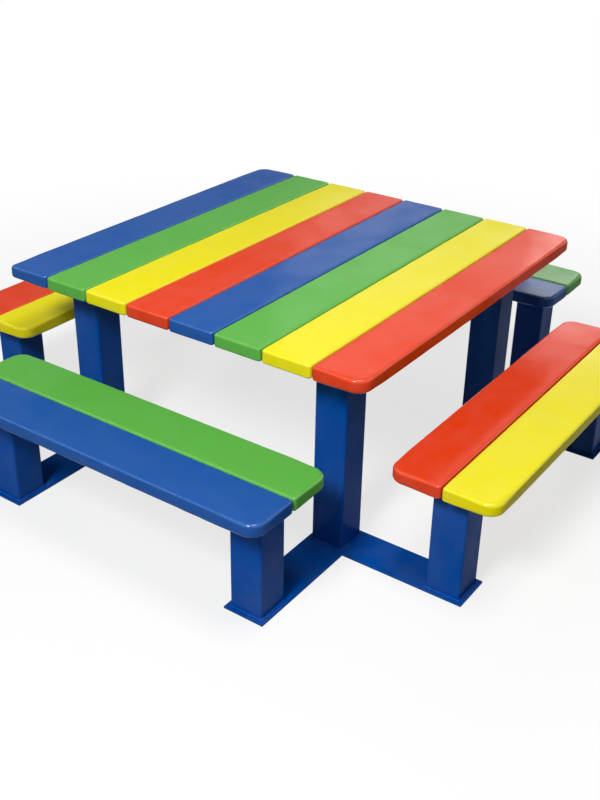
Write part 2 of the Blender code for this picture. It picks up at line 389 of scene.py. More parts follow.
class Shaper:
    """Edit-mode tools for one piece, whose parts are picked by place or direction."""

    def __init__(self, piece: Piece) -> None:
        """Keeps the piece to shape."""
        self.piece = piece

    def __enter__(self) -> "Shaper":
        """Opens the piece in edit mode.

        Returns:
            The tools.
        """
        Workshop.only(self.piece)
        bpy.ops.object.mode_set(mode="EDIT")
        bpy.ops.mesh.select_all(action="DESELECT")
        return self

    def __exit__(self, *_: object) -> None:
        """Closes edit mode."""
        bpy.ops.object.mode_set(mode="OBJECT")

    def _start_picking(self, kind: str) -> bmesh.types.BMesh:
        """Clears the selection.

        Args:
            kind: what is going to be picked: VERT, EDGE or FACE.

        Returns:
            The mesh to pick from.
        """
        bpy.ops.mesh.select_mode(type=kind)
        bpy.ops.mesh.select_all(action="DESELECT")
        return bmesh.from_edit_mesh(self.piece.data)

    def _end_picking(self, mesh: bmesh.types.BMesh) -> None:
        """Shows the picked parts to the operators."""
        mesh.select_flush_mode()
        bmesh.update_edit_mesh(self.piece.data)

    def pick_points(self, wanted: PointTest) -> None:
        """Picks points.

        Args:
            wanted: a test of a point's place.
        """
        mesh = self._start_picking("VERT")
        for point in mesh.verts:
            point.select_set(wanted(point.co))
        self._end_picking(mesh)

    def pick_edges(self, wanted: EdgeTest) -> None:
        """Picks edges.

        Args:
            wanted: a test of an edge's middle and direction.
        """
        mesh = self._start_picking("EDGE")
        for edge in mesh.edges:
            start, end = (point.co for point in edge.verts)
            edge.select_set(wanted((start + end) / 2, (end - start).normalized()))
        self._end_picking(mesh)

    def pick_faces(self, wanted: FaceTest) -> None:
        """Picks faces.

        Args:
            wanted: a test of a face's middle and normal.
        """
        mesh = self._start_picking("FACE")
        for face in mesh.faces:
            face.select_set(wanted(face.calc_center_median(), face.normal))
        self._end_picking(mesh)

    def pick_alternate_points(self) -> None:
        """Picks every other point of a loop round the vertical."""
        mesh = self._start_picking("VERT")
        ring = sorted(mesh.verts, key=lambda point: math.atan2(point.co.y, point.co.x))
        for point in ring[::2]:
            point.select_set(True)
        self._end_picking(mesh)

    def pick_all(self) -> None:
        """Picks the whole mesh."""
        bpy.ops.mesh.select_all(action="SELECT")

    def bevel(self, width: float, steps: int, corners: bool = False) -> None:
        """Rounds the picked edges, or the picked corners of a flat outline, in a few steps."""
        affect = "VERTICES" if corners else "EDGES"
        bpy.ops.mesh.bevel(offset=width, segments=steps, profile=0.5, affect=affect)

    def weigh(self, weight: float) -> None:
        """Adds to how far a bevel modifier rounds the picked edges."""
        bpy.ops.transform.edge_bevelweight(value=weight)

    def extrude(self, move: Triple = (0, 0, 0)) -> None:
        """Extrudes what is picked and moves the new part."""
        bpy.ops.mesh.extrude_region_move(TRANSFORM_OT_translate={"value": move})

    def scale(self, factor: float) -> None:
        """Scales what is picked about the vertical through the origin."""
        bpy.ops.transform.resize(value=(factor, factor, 1), center_override=(0, 0, 0))

    def move(self, offset: Triple) -> None:
        """Moves what is picked."""
        bpy.ops.transform.translate(value=offset)

    def turn_over(self) -> None:
        """Turns what is picked upside down about the origin."""
        bpy.ops.transform.rotate(value=math.pi, orient_axis="X", center_override=(0, 0, 0))

    def inset(self, width: float) -> None:
        """Insets the picked faces."""
        bpy.ops.mesh.inset(thickness=width, depth=0)

    def cut(self, place: Triple, normal: Triple) -> None:
        """Cuts new edges right across the mesh along a plane."""
        self.pick_all()
        bpy.ops.mesh.bisect(plane_co=place, plane_no=normal)

    def subdivide(self, cuts: int) -> None:
        """Divides the picked edges."""
        bpy.ops.mesh.subdivide(number_cuts=cuts)

    def drop_faces(self, edges_too: bool) -> None:
        """Deletes the picked faces, with the edges that only they hold if asked."""
        bpy.ops.mesh.delete(type="FACE" if edges_too else "ONLY_FACE")

    def close_ring(self) -> None:
        """Joins the two open rims of a ring and points its faces outwards."""
        bpy.ops.mesh.select_mode(type="EDGE")
        bpy.ops.mesh.select_all(action="DESELECT")
        bpy.ops.mesh.select_non_manifold()
        bpy.ops.mesh.bridge_edge_loops()
        self.face_out()

    def face_out(self) -> None:
        """Points all the faces outwards."""
        self.pick_all()
        bpy.ops.mesh.normals_make_consistent(inside=False)

    def face_down(self) -> None:
        """Turns all the faces of an open sheet so that its lowest one points down."""
        self.face_out()
        mesh = bmesh.from_edit_mesh(self.piece.data)
        lowest = min(mesh.faces, key=lambda face: face.calc_center_median().z)
        if lowest.normal.z > 0:
            bpy.ops.mesh.flip_normals()


class Wiring:
    """Adds and joins nodes in one shader tree."""

    NOISE_ROUGHNESS = 0.55

    def __init__(self, tree: NodeTree) -> None:
        """Keeps the tree to wire."""
        self.tree = tree

    def find(self, kind: str) -> Node:
        """Finds the node of a type that a new tree holds from the start."""
        return next(node for node in self.tree.nodes if node.type == kind)

    def feed(self, node: Node, inputs: Inputs) -> None:
        """Links or sets inputs of a node.

        Args:
            node: the node.
            inputs: an output to link or a value to set, for each input.
        """
        for socket, value in inputs.items():
            if isinstance(value, Socket):
                self.tree.links.new(value, node.inputs[socket])
            else:
                node.inputs[socket].default_value = value

    def add(self, kind: str, inputs: Inputs, **settings: object) -> Node:
        """Adds a node.

        Args:
            kind: the node's type, without the words that all shader nodes share.
            inputs: an output to link or a value to set, for each input.
            settings: the node's own settings.

        Returns:
            The new node.
        """
        node = self.tree.nodes.new(f"ShaderNode{kind}")
        for setting, value in settings.items():
            setattr(node, setting, value)
        self.feed(node, inputs)
        return node

    def maths(self, operation: str, *values: object) -> Socket:
        """Adds a Math node and gives its result."""
        return self.add("Math", dict(enumerate(values)), operation=operation).outputs[0]

    def remap(self, value: Socket, start: Span, end: Span = (0, 1)) -> Socket:
        """Adds a Map Range node that eases a value from one range to another.

        Args:
            value: the output to map.
            start: the range that it comes from.
            end: the range that it goes to.

        Returns:
            The mapped value.
        """
        limits = dict(zip(("From Min", "From Max", "To Min", "To Max"), start + end))
        node = self.add("MapRange", {"Value": value} | limits, interpolation_type="SMOOTHSTEP")
        return node.outputs["Result"]

    def noise(self, place: Socket, scale: Socket | float, detail: float) -> Socket:
        """Adds a Noise Texture and gives its value."""
        inputs = {"Scale": scale, "Detail": detail, "Roughness": self.NOISE_ROUGHNESS}
        return self.add("TexNoise", {"Vector": place} | inputs).outputs[0]

    def stretch(self, place: Socket, scale: Triple) -> Socket:
        """Multiplies a place by a scale along each axis."""
        return self.add("VectorMath", {0: place, 1: scale}, operation="MULTIPLY").outputs[0]

    def blend(self, share: Socket, first: Socket, second: Colour) -> Socket:
        """Adds a Mix node, whose colours are its sockets 6, 7 and 2, and gives the mixed one."""
        return self.add("Mix", {0: share, 6: first, 7: second}, data_type="RGBA").outputs[2]

    def group(self, tree: NodeTree, inputs: Inputs) -> Outputs:
        """Adds a node group with its own values and gives its outputs."""
        return self.add("Group", inputs, node_tree=tree).outputs


class Effects:
    """The effects that more than one finish uses, each a node group that is built once."""

    PLACE_AND_SCALE = {"Place": "Vector", "Scale": "Float"}

    # Tone drift: a noise's middle, its detail, and where and how a second noise is read.
    MIDDLE = 0.5
    PATCH_DETAIL = 3
    OTHER_DETAIL = 2
    OTHER_PATCHES = (-1.0, -1.3, 0.8)

    # Film: the part of a noise that becomes dimples.
    DIMPLE_DETAIL = 1.5
    DIMPLES = (0.3, 0.7)

    # Grain: how rings and fibres are drawn out along the board, and what each adds.
    RING_STRETCH = (0.12, 1.0, 1.0)
    RINGS = {"Scale": 38.0, "Distortion": 5.0, "Detail": 2.0, "Detail Scale": 1.2}
    RING_SHARE = 0.6
    FIBRE_STRETCH = (0.02, 1.0, 1.0)
    FIBRE_SCALE = 900.0
    FIBRE_DETAIL = 3
    FIBRE_SHARE = 0.8
    PORES = (0.56, 0.74)

    # Rim: between which tilts an edge fades in, and how noise breaks up its wear and painted
    # highlight.
    EDGE_TILT = (0.94, 0.58)
    WEAR_SCALE = 70.0
    WEAR_DETAIL = 4
    WEAR = (0.35, 0.7)
    LEAST_WEAR = 0.25

    # Handling: the part of a noise that becomes patches, and the fine rubs between them.
    PATCHES = (0.35, 0.7)
    SOFT_DETAIL = 4
    RUB_STRETCH = (1.0, 0.35, 1.0)
    RUB_SCALE = 240.0
    RUB_DETAIL = 2
    RUBS = (0.4, 0.75)
    RUB_SHARE = 0.35

    @staticmethod
    def _begin(
        name: str, inputs: dict[str, str], outputs: dict[str, str]
    ) -> tuple[Wiring, Outputs, Node]:
        """Starts a node group.

        Args:
            name: the group's name.
            inputs: the socket type of each input.
            outputs: the socket type of each output.

        Returns:
            The group's wiring, what comes in, and the node that puts out.
        """
        tree = bpy.data.node_groups.new(name, "ShaderNodeTree")
        for way, sockets in (("INPUT", inputs), ("OUTPUT", outputs)):
            for label, kind in sockets.items():
                tree.interface.new_socket(label, in_out=way, socket_type=f"NodeSocket{kind}")
        source = tree.nodes.new("NodeGroupInput")
        return Wiring(tree), source.outputs, tree.nodes.new("NodeGroupOutput")

    @classmethod
    @cache
    def tone_drift(cls) -> NodeTree:
        """Wires a paint whose tone drifts a little from patch to patch.

        Returns:
            The group, which puts out the colour.
        """
        inputs = {"Place": "Vector", "Colour": "Color", "Patch Scale": "Float", "Depth": "Float"}
        wiring, source, target = cls._begin("tone_drift", inputs, {"Colour": "Color"})
        other = wiring.stretch(source["Place"], cls.OTHER_PATCHES)
        tint = {"Color": source["Colour"]}
        for part, place, detail in (
            ("Value", source["Place"], cls.PATCH_DETAIL),
            ("Saturation", other, cls.OTHER_DETAIL),
        ):
            patches = wiring.noise(place, source["Patch Scale"], detail)
            swing = wiring.maths("SUBTRACT", patches, cls.MIDDLE)
            tint[part] = wiring.maths("MULTIPLY_ADD", swing, source["Depth"], 1.0)
        wiring.feed(target, {"Colour": wiring.add("HueSaturation", tint).outputs[0]})
        return wiring.tree

    @classmethod
    @cache
    def film(cls) -> NodeTree:
        """Wires the fine dimples of a sprayed film.

        Returns:
            The group, which puts out a height.
        """
        wiring, source, target = cls._begin(
            "film_dimples", cls.PLACE_AND_SCALE, {"Height": "Float"}
        )
        dimples = wiring.noise(source["Place"], source["Scale"], cls.DIMPLE_DETAIL)
        wiring.feed(target, {"Height": wiring.remap(dimples, cls.DIMPLES)})
        return wiring.tree

    @classmethod
    @cache
    def grain(cls) -> NodeTree:
        """Wires growth rings and fibres that show through paint, along the first axis of Run.

        Returns:
            The group, which puts out a height and a mask of the pores.
        """
        outputs = {"Height": "Float", "Pores": "Float"}
        wiring, source, target = cls._begin("board_grain", {"Run": "Vector"}, outputs)
        slow = wiring.stretch(source["Run"], cls.RING_STRETCH)
        rings = wiring.add(
            "TexWave", {"Vector": slow} | cls.RINGS, wave_type="RINGS", rings_direction="X"
        )
        drawn = wiring.stretch(source["Run"], cls.FIBRE_STRETCH)
        fibres = wiring.noise(drawn, cls.FIBRE_SCALE, cls.FIBRE_DETAIL)
        weighed = wiring.maths("MULTIPLY", rings.outputs["Fac"], cls.RING_SHARE)
        height = wiring.maths("MULTIPLY_ADD", fibres, cls.FIBRE_SHARE, weighed)
        wiring.feed(target, {"Height": height, "Pores": wiring.remap(fibres, cls.PORES)})
        return wiring.tree

    @classmethod
    @cache
    def rim(cls) -> NodeTree:
        """Wires masks of the rounded edges round a level face.

        Returns:
            The group, which puts out the edge whole and broken up along its length, for wear and a
            painted highlight.
        """
        inputs = {"Normal": "Vector", "Place": "Vector"}
        wiring, source, target = cls._begin("rim", inputs, {"Edge": "Float", "Mask": "Float"})
        upward = wiring.add("SeparateXYZ", {0: source["Normal"]}).outputs[2]
        level = wiring.maths("MULTIPLY", upward, upward)
        flattest = wiring.maths("MAXIMUM", level, wiring.maths("SUBTRACT", 1.0, level))
        edge = wiring.remap(flattest, cls.EDGE_TILT)
        # Breaks up the lighter edge colour, which stands for worn paint and a painted highlight.
        wear_and_highlight_noise = wiring.noise(source["Place"], cls.WEAR_SCALE, cls.WEAR_DETAIL)
        wear_and_highlight_breakup = wiring.remap(wear_and_highlight_noise, cls.WEAR, (cls.LEAST_WEAR, 1))
        wiring.feed(target, {"Edge": edge, "Mask": wiring.maths("MULTIPLY", edge, wear_and_highlight_breakup)})
        return wiring.tree

    @classmethod
    @cache
    def handling(cls) -> NodeTree:
        """Wires the soft patches and fine rubs that use leaves in a gloss.

        Returns:
            The group, which puts out a mask.
        """
        wiring, source, target = cls._begin("handling", cls.PLACE_AND_SCALE, {"Mask": "Float"})
        soft = wiring.noise(source["Place"], source["Scale"], cls.SOFT_DETAIL)
        patches = wiring.remap(soft, cls.PATCHES)
        drawn = wiring.stretch(source["Place"], cls.RUB_STRETCH)
        rubs = wiring.noise(drawn, cls.RUB_SCALE, cls.RUB_DETAIL)
        fine = wiring.remap(rubs, cls.RUBS, (0, cls.RUB_SHARE))
        wiring.feed(target, {"Mask": wiring.maths("ADD", patches, fine)})
        return wiring.tree


@dataclass(frozen=True, kw_only=True)
class Finish:
    """What the finishes share: a drifting tone, a handled gloss and a fine film.

    A span of values runs from where the finish is fresh to where it is most handled.
    """

    # The range of the mask of handling.
    HANDLED = (0, 1.2)

    name: str
    slot: str
    ending: str
    colour: Colour
    drift: float
    patch_scale: float
    roughness: Span
    handling_scale: float
    film_scale: float
    relief: float
    bump_strength: float

    def begin(self) -> tuple[Material, Wiring]:
        """Starts the material.

        Returns:
            The material and its wiring.
        """
        material = bpy.data.materials.new(self.name)
        material.use_nodes = True
        return material, Wiring(material.node_tree)

    def end(self, material: Material, wiring: Wiring, inputs: Inputs) -> Coat:
        """Feeds the material's own shader and makes it a coat to wear."""
        wiring.feed(wiring.find("BSDF_PRINCIPLED"), inputs)
        return Coat(material, self.slot, self.ending)

    def tone(self, wiring: Wiring, place: Socket) -> Socket:
        """The colour, which drifts from patch to patch."""
        inputs = {"Colour": self.colour, "Patch Scale": self.patch_scale, "Depth": self.drift}
        return wiring.group(Effects.tone_drift(), {"Place": place} | inputs)["Colour"]

    def handled(self, wiring: Wiring, place: Socket) -> Socket:
        """The mask of where the finish is handled."""
        inputs = {"Place": place, "Scale": self.handling_scale}
        return wiring.group(Effects.handling(), inputs)["Mask"]

    def film(self, wiring: Wiring, place: Socket) -> Socket:
        """The height of the film's dimples."""
        inputs = {"Place": place, "Scale": self.film_scale}
        return wiring.group(Effects.film(), inputs)["Height"]

    def bumped(self, wiring: Wiring, height: Socket) -> Socket:
        """The normal of a surface with this relief."""
        inputs = {"Strength": self.bump_strength, "Distance": self.relief, "Height": height}
        return wiring.add("Bump", inputs).outputs[0]


@dataclass(frozen=True, kw_only=True)
class Paintwork(Finish):
    """What paint and powder share: edges painted lighter, for wear and as a painted highlight,
    under a clear gloss.
    """

    # Lighter colour mixed onto rounded edges: partly paint worn thin, partly a painted highlight.
    rim_colour: Colour
    rim_share: float = 0.35
    roughness: Span = (0.34, 0.50)
    sheen_level: float = 0.005
    gloss: Span
    gloss_roughness: float
    edge_gloss: float = 0.0

    def surface(
        self, wiring: Wiring, place: Socket, normal: Socket, colour: Socket, height: Socket
    ) -> Inputs:
        """Wires the lighter edges, which are wear and a painted highlight, the gloss and the
        relief.

        Args:
            wiring: the material's wiring.
            place: the coordinates that the paint follows.
            normal: the surface's normal.
            colour: the colour away from the edges.
            height: the height of the fine relief.

        Returns:
            What the material's shader takes in.
        """
        rim = wiring.group(Effects.rim(), {"Normal": normal, "Place": place})
        # Mixes the rounded edges lighter, as worn paint and as a painted highlight.
        edge = wiring.maths("MULTIPLY", rim["Mask"], self.rim_share)
        handled = self.handled(wiring, place)
        gloss = wiring.remap(handled, self.HANDLED, self.gloss)
        if self.edge_gloss:
            gloss = wiring.maths("MULTIPLY_ADD", rim["Edge"], self.edge_gloss, gloss)
        return {
            "Base Color": wiring.blend(edge, colour, self.rim_colour),
            "Roughness": wiring.remap(handled, self.HANDLED, self.roughness),
            "Specular IOR Level": self.sheen_level,
            "Coat Weight": gloss,
            "Coat Roughness": self.gloss_roughness,
            "Normal": self.bumped(wiring, height),
        }


@dataclass(frozen=True, kw_only=True)
class BoardPaint(Paintwork):
    """Opaque satin paint on a planed board."""

    ending: str = "painted"
    drift: float = 0.06
    patch_scale: float = 14.0
    handling_scale: float = 9.0
    gloss: Span = (0.13, 0.09)
    gloss_roughness: float = 0.12
    edge_gloss: float = 0.60
    pore_shade: float = 0.8
    pore_share: float = 0.3
    film_scale: float = 420.0
    film_share: float = 0.35
    grain_share: float = 0.5
    relief: float = 0.00035
    bump_strength: float = 0.22

    def coat(self) -> Coat:
        """Builds the paint on the board's own lengthwise coordinates.

        Returns:
            The paint, ready to wear.
        """
        material, wiring = self.begin()
        run = wiring.add("Attribute", {}, attribute_name=BOARD_RUN).outputs["Vector"]
        normal = wiring.add("TexCoord", {}).outputs["Normal"]
        grain = wiring.group(Effects.grain(), {"Run": run})
        pores = wiring.maths("MULTIPLY", grain["Pores"], self.pore_share)
        dark = tuple(self.pore_shade * part for part in self.colour[:3]) + (1.0,)
        colour = wiring.blend(pores, self.tone(wiring, run), dark)
        dimples = wiring.maths("MULTIPLY", self.film(wiring, run), self.film_share)
        height = wiring.maths("MULTIPLY_ADD", grain["Height"], self.grain_share, dimples)
        inputs = self.surface(wiring, run, normal, colour, height)
        return self.end(material, wiring, inputs)


@dataclass(frozen=True, kw_only=True)
class PowderCoat(Paintwork):
    """Baked powder on steel."""

    name: str = "powder_coat_blue"
    slot: str = "frame_blue"
    ending: str = "coated"
    colour: Colour = (0.0040, 0.079, 0.385, 1.0)
    # Lighter blue on rounded edges: partly worn powder, partly a painted highlight.
    rim_colour: Colour = (0.03, 0.14, 0.52, 1.0)
    drift: float = 0.16
    patch_scale: float = 11.0
    handling_scale: float = 7.0
    gloss: Span = (0.14, 0.09)
    gloss_roughness: float = 0.20
    film_scale: float = 360.0
    relief: float = 0.00018
    bump_strength: float = 0.25

    def coat(self) -> Coat:
        """Builds the powder on the object's own coordinates.

        Returns:
            The powder, ready to wear.
        """
        material, wiring = self.begin()
        texture = wiring.add("TexCoord", {}).outputs
        place = texture["Object"]
        colour = self.tone(wiring, place)
        height = self.film(wiring, place)
        inputs = self.surface(wiring, place, texture["Normal"], colour, height)
        return self.end(material, wiring, inputs)


@dataclass(frozen=True, kw_only=True)
class ZincPlate(Finish):
    """Bright zinc on screws, bolts, washers and nuts."""

    name: str = "zinc_plate"
    slot: str = "fasteners"
    ending: str = "plated"
    colour: Colour = (0.56, 0.57, 0.58, 1.0)
    drift: float = 0.3
    patch_scale: float = 180.0
    roughness: Span = (0.28, 0.46)
    handling_scale: float = 90.0
    film_scale: float = 1800.0
    relief: float = 0.0001
    bump_strength: float = 0.15

    def coat(self) -> Coat:
        """Builds the plating on the object's own coordinates.

        Returns:
            The plating, ready to wear.
        """
        material, wiring = self.begin()
        place = wiring.add("TexCoord", {}).outputs["Object"]
        handled = self.handled(wiring, place)
        inputs = {
            "Base Color": self.tone(wiring, place),
            "Metallic": 1.0,
            "Roughness": wiring.remap(handled, self.HANDLED, self.roughness),
            "Normal": self.bumped(wiring, self.film(wiring, place)),
        }
        return self.end(material, wiring, inputs)


# Each paint's colour on flats, and its lighter colour on rounded edges for wear and a painted
# highlight.
PAINT_COLOURS: dict[Paint, tuple[Colour, Colour]] = {
    Paint.BLUE: ((0.018, 0.097, 0.365, 1.0), (0.10, 0.24, 0.56, 1.0)),
    Paint.GREEN: ((0.114, 0.435, 0.066, 1.0), (0.28, 0.60, 0.18, 1.0)),
    Paint.YELLOW: ((0.850, 0.755, 0.008, 1.0), (0.92, 0.84, 0.16, 1.0)),
    Paint.RED: ((0.765, 0.058, 0.017, 1.0), (0.86, 0.20, 0.11, 1.0)),
}


@dataclass(frozen=True)
class Wardrobe:
    """The finishes, each built once."""

    boards: dict[Paint, Coat]
    steel: Coat
    zinc: Coat

    @staticmethod
    def filled() -> "Wardrobe":
        """Builds every finish.

        Returns:
            The wardrobe.
        """
        boards = {}
        for paint, (colour, rim_colour) in PAINT_COLOURS.items():
            name = f"board_paint_{paint.value}"
            finish = BoardPaint(name=name, slot=paint.slot, colour=colour, rim_colour=rim_colour)
            boards[paint] = finish.coat()
        return Wardrobe(boards, PowderCoat().coat(), ZincPlate().coat())


@dataclass
class Slat:
    """A planed board, modelled along X with its top at height zero.

    The outer corners are those at its -Y side with a plan radius of their own, which is given
    for each end, -1 or 1. Towards them its edges are rounded more and more.
    """

    length: float
    outer_corners: dict[int, float]
    width: float = 0.122
    thickness: float = height_of("table_slat_1_blue")
    edge_radius: float = 0.0058
    edge_steps: int = 6
    soft_radius: float = 0.009
    soft_start: float = 0.034
    soft_reach: float = 0.084
    soft_steps: int = 5
    small_radius: float = 0.008
    small_steps: int = 6
    outer_steps: int = 14
    cut_spacing: float = 0.010
    cut_margin: float = 0.0096
    sanding: float = 0.0005
    sanding_size: float = 0.07
    edge_sanding: float = 0.0007
    edge_sanding_size: float = 0.022
    sanding_detail: int = 1

    def model(self, name: str) -> Piece:
        """Models the board.

        Args:
            name: the pattern's name.

        Returns:
            The board.
        """
        size = (self.length, self.width, self.thickness)
        board = Workshop.block(name, size, (0, 0, -self.thickness / 2))
        with Shaper(board) as shape:
            for end, radius in self.outer_corners.items():
                shape.pick_edges(lambda middle, way: self._outer(middle, way, end))
                shape.bevel(radius, self.outer_steps)
            shape.pick_edges(self._square)
            shape.bevel(self.small_radius, self.small_steps)
            self._cut_grid(shape, through_corners=False)
            self._weigh_rim(shape)
        Workshop.modify(
            board,
            "BEVEL",
            width=self.soft_radius,
            segments=self.edge_steps,
            limit_method="WEIGHT",
            loop_slide=False,
        )
        with Shaper(board) as shape:
            self._cut_grid(shape, through_corners=True)
        self._mark_run(board)
        return board

    def _weigh_rim(self, shape: Shaper) -> None:
        """Sets how far each edge of the outline is rounded.

        Args:
            shape: the board's tools.
        """
        usual = self.edge_radius / self.soft_radius
        shape.pick_edges(self._on_rim)
        shape.weigh(usual)
        stride = (self.soft_reach - self.soft_start) / self.soft_steps
        for step in range(1, self.soft_steps + 1):
            reach = self.soft_start + stride * step
            shape.pick_edges(
                lambda middle, way: self._on_rim(middle, way) and self._near(middle, reach)
            )
            shape.weigh((1 - usual) / self.soft_steps)

    def _cut_grid(self, shape: Shaper, through_corners: bool) -> None:
        """Cuts a grid into the board.

        Args:
            shape: the board's tools.
            through_corners: whether to make the cuts that cross the outer corners, or the others.
        """
        corners = self.outer_corners.items()
        for x in self._stations(self.length):
            crosses = any(end * x > self.length / 2 - radius for end, radius in corners)
            if crosses == through_corners:
                shape.cut((x, 0, 0), (1, 0, 0))
        for y in self._stations(self.width):
            crosses = any(y < radius - self.width / 2 for _, radius in corners)
            if crosses == through_corners:
                shape.cut((0, y, 0), (0, 1, 0))

    def _on_rim(self, middle: Vector, way: Vector) -> bool:
        """Tells whether an edge lies on the board's outline, at its top or its bottom.

        Args:
            middle: the edge's middle.
            way: the edge's direction.

        Returns:
            Whether it does.
        """
        inset_x = self.length / 2 - abs(middle.x)
        inset_y = self.width / 2 - abs(middle.y)
        in_corner = max(inset_x, inset_y) < self._corner_radius(middle)
        level = abs(way.z) < 1 - STRAIGHT
        return level and (in_corner or min(inset_x, inset_y) < TOUCH)

    def _corner_radius(self, middle: Vector) -> float:
        """The plan radius of the board's corner on a place's own side and end."""
        end = 1 if middle.x > 0 else -1
        return self.outer_corners.get(end, self.small_radius) if middle.y < 0 else self.small_radius

    def _near(self, middle: Vector, reach: float) -> bool:
        """Whether a place is within reach of the point that an outer corner rounds off."""
        corners = [Vector((end * self.length / 2, -self.width / 2)) for end in self.outer_corners]
        return any((middle.xy - corner).length < reach for corner in corners)

    def _outer(self, middle: Vector, way: Vector, end: int) -> bool:
        """Whether an edge stands upright at the square -Y corner of an end."""
        return self._square(middle, way) and middle.y < 0 and end * middle.x > 0

    def _square(self, middle: Vector, way: Vector) -> bool:
        """Whether an edge stands upright at a corner that is still square."""
        offsets = (abs(middle.x) - self.length / 2, abs(middle.y) - self.width / 2)
        return abs(way.z) > STRAIGHT and all(abs(offset) < TOUCH for offset in offsets)

    def _stations(self, size: float) -> list[float]:
        """The places of the cuts along one side of the board.

        Args:
            size: the side's length.

        Returns:
            The places, even and clear of the rounded edges.
        """
        reach = size / 2 - self.cut_margin
        count = max(1, round(2 * reach / self.cut_spacing))
        return [reach * (2 * step / count - 1) for step in range(count + 1)]

    @staticmethod
    def _mark_run(board: Piece) -> None:
        """Stores where each point lies along, across and through the board.

        Args:
            board: the pattern.
        """
        run = board.data.attributes.new(BOARD_RUN, "FLOAT_VECTOR", "POINT")
        for mark, point in zip(run.data, board.data.vertices):
            mark.vector = point.co

    def dress(self, board: Piece, shift: Vector) -> None:
        """Gives a copy its own grain and its own hand-sanded unevenness.

        Args:
            board: the copy, in place.
            shift: how far into the grain this board was cut.
        """
        for mark in board.data.attributes[BOARD_RUN].data:
            mark.vector = Vector(mark.vector) + shift
        rounded = board.vertex_groups.new(name=ROUNDED)
        for point in board.data.vertices:
            level = point.normal.z**2
            rounded.add([point.index], 4 * level * (1 - level), "REPLACE")
        Workshop.roughen(board, self.sanding, self.sanding_size, self.sanding_detail)
        Workshop.roughen(
            board, self.edge_sanding, self.edge_sanding_size, self.sanding_detail, ROUNDED
        )
        board.vertex_groups.clear()
        Workshop.smooth(board)


@dataclass(frozen=True)
class SquareTube:
    """A square steel tube, modelled upright on height zero."""

    length: float
    side: float = TUBE_SIDE
    wall: float = 0.003
    corner_radius: float = TUBE_CORNER
    corner_steps: int = 5

    def model(self, name: str) -> Piece:
        """Models the tube, open at both ends.

        Args:
            name: the pattern's name.

        Returns:
            The tube.
        """
        tube = Workshop.block(name, (self.side, self.side, self.length), (0, 0, self.length / 2))
        with Shaper(tube) as shape:
            shape.pick_edges(lambda middle, way: abs(way.z) > STRAIGHT)
            shape.bevel(self.corner_radius, self.corner_steps)
            shape.pick_faces(lambda middle, normal: abs(normal.z) > STRAIGHT)
            shape.drop_faces(edges_too=False)
        Workshop.modify(tube, "SOLIDIFY", thickness=self.wall, offset=-1, use_even_offset=True)
        Workshop.smooth(tube)
        return tube


@dataclass(frozen=True)
class SteelPlate:
    """A flat plate, modelled on height zero."""

    size: Triple
    corner_radius: float = 0.004
    corner_steps: int = 4
    edge: float = 0.0006
    edge_steps: int = 2

    def model(self, name: str) -> Piece:
        """Models the plate with rounded corners and broken edges.

        Args:
            name: the pattern's name.

        Returns:
            The plate.
        """
        plate = Workshop.block(name, self.size, (0, 0, self.size[2] / 2))
        with Shaper(plate) as shape:
            shape.pick_edges(lambda middle, way: abs(way.z) > STRAIGHT)
            shape.bevel(self.corner_radius, self.corner_steps)
            shape.pick_edges(lambda middle, way: abs(way.z) < 1 - STRAIGHT)
            shape.bevel(self.edge, self.edge_steps)
        Workshop.smooth(plate)
        return plate


@dataclass(frozen=True)
class WeldBead:
    """A rippled bead round the outside of a square tube, at height zero.

    Its profile gives how far out and how high each line of the bead runs.
    """

    kind: str
    profile: tuple[Span, ...]
    side: float = TUBE_SIDE
    corner_radius: float = TUBE_CORNER
    corner_steps: int = 4
    bite: float = 0.0006
    ripple: float = 0.0010
    ripple_cuts: int = 34
    lumps: float = 0.0016
    lump_size: float = 0.009
    lump_detail: int = 2

    def model(self) -> Piece:
        """Models the bead along its profile.

        Returns:
            The bead, closed all round and named for its kind.
        """
        reach = self.side / 2 - self.bite
        out, up = self.profile[0]
        bead = Workshop.sheet(self.kind, (2 * reach, 2 * reach), up)
        with Shaper(bead) as shape:
            shape.pick_all()
            shape.bevel(self.corner_radius, self.corner_steps, corners=True)
            shape.pick_edges(lambda middle, way: max(abs(way.x), abs(way.y)) > DEAD_STRAIGHT)
            shape.subdivide(self.ripple_cuts)
            shape.pick_faces(lambda middle, normal: True)
            shape.drop_faces(edges_too=False)
            shape.pick_alternate_points()
            shape.scale((reach + self.ripple) / reach)
            shape.pick_all()
            shape.scale((reach + out) / reach)
            for next_out, next_up in self.profile[1:]:
                shape.extrude()
                shape.scale((reach + next_out) / (reach + out))
                shape.move((0, 0, next_up - up))
                out, up = next_out, next_up
            shape.close_ring()
        Workshop.modify(bead, "SUBSURF", levels=1, render_levels=1)
        return bead

    def lay(self, pattern: Piece, name: str, coat: Coat, spot: Vector, turn: float) -> None:
        """Lays a copy of the bead, lumpy in its own way.

        Args:
            pattern: the bead that was modelled once.
            name: the copy's name.
            coat: the finish it wears.
            spot: where the pattern's origin goes.
            turn: the turn about the vertical, in degrees.
        """
        bead = Workshop.copy_of(pattern, name, spot, turn)
        Workshop.roughen(bead, self.lumps, self.lump_size, self.lump_detail)
        Workshop.only(bead)
        bpy.ops.object.shade_smooth()
        Workshop.hand_in(bead, coat)


